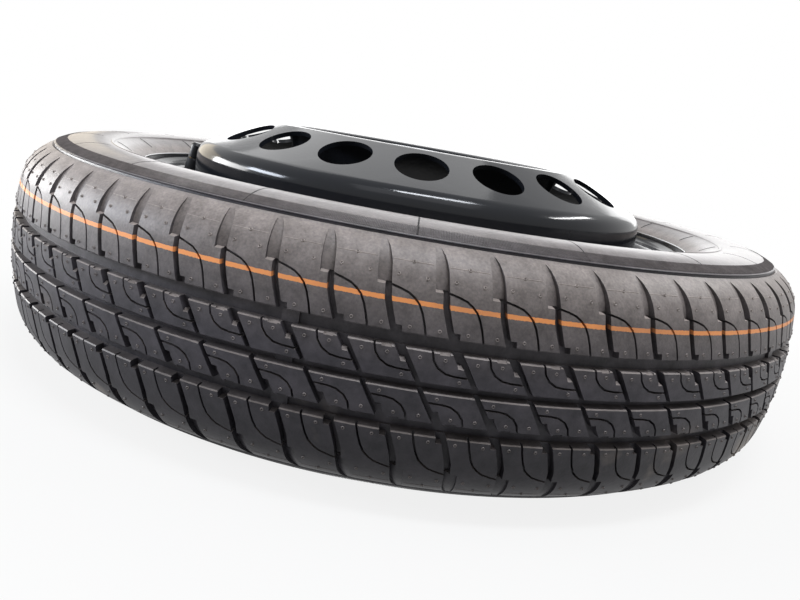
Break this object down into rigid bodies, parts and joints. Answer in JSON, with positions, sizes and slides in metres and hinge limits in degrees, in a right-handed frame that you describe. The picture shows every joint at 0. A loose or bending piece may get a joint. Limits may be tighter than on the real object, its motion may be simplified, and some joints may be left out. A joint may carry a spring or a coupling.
{
  "type": "space saver spare wheel",
  "caption": "Narrow temporary spare wheel: low grooved tyre on a black steel rim with a raised vented hat disc and a rubber snap-in valve.",
  "frame": {"origin": "centre of the hub bore on the disc's seating face, which bears on the car's hub", "axes": "+Z along the wheel's axis towards the raised outer side, -Y towards the viewer of the picture, +X to the viewer's right"},
  "size_m": [0.635, 0.635, 0.1835],
  "materials": {
    "tyre_rubber": "matte",
    "painted_steel": "gloss",
    "weld_steel": "satin",
    "valve_rubber": "matte",
    "brass": "satin",
    "spring_steel": "satin",
    "seal_rubber": "matte",
    "cap_plastic": "matte"
  },
  "bodies": {
    "wheel": {"tyre": "tyre_rubber", "wheel_rim": "painted_steel", "wheel_disc": "painted_steel", "disc_welds": "weld_steel", "valve_body": "valve_rubber", "valve_stem": "brass", "core_plug": "brass", "core_barrel": "brass", "core_gasket": "seal_rubber", "core_spring": "spring_steel"},
    "core_pin": {"core_pin": "brass", "core_cup": "brass", "core_cup_seal": "seal_rubber"},
    "cap_seal": {"valve_cap_seal": "seal_rubber"},
    "cap": {"valve_cap": "cap_plastic"}
  },
  "joints": [
    {"name": "valve_pin_press", "type": "slide", "parent": "wheel", "child": "core_pin", "axis": [-0.1732, -0.0121, -0.9848], "range_m": [0, 0.001], "stiffness_N_per_m": 1500, "springref_m": -0.0015, "deforming": ["core_spring"]},
    {"name": "valve_cap_lift", "type": "slide", "parent": "wheel", "child": "cap_seal", "axis": [0.1732, 0.0121, 0.9848], "range_m": [0, 0.00476]},
    {"name": "valve_cap_turn", "type": "hinge", "parent": "cap_seal", "child": "cap", "pos_m": [-0.19765, -0.01382, 0.02761], "axis": [0.1732, 0.0121, 0.9848], "range_deg": [0, 2160]}
  ],
  "couplings": [
    {"joint": "valve_cap_turn", "follows": "valve_cap_lift", "rad_per_m": 7915.8}
  ]
}
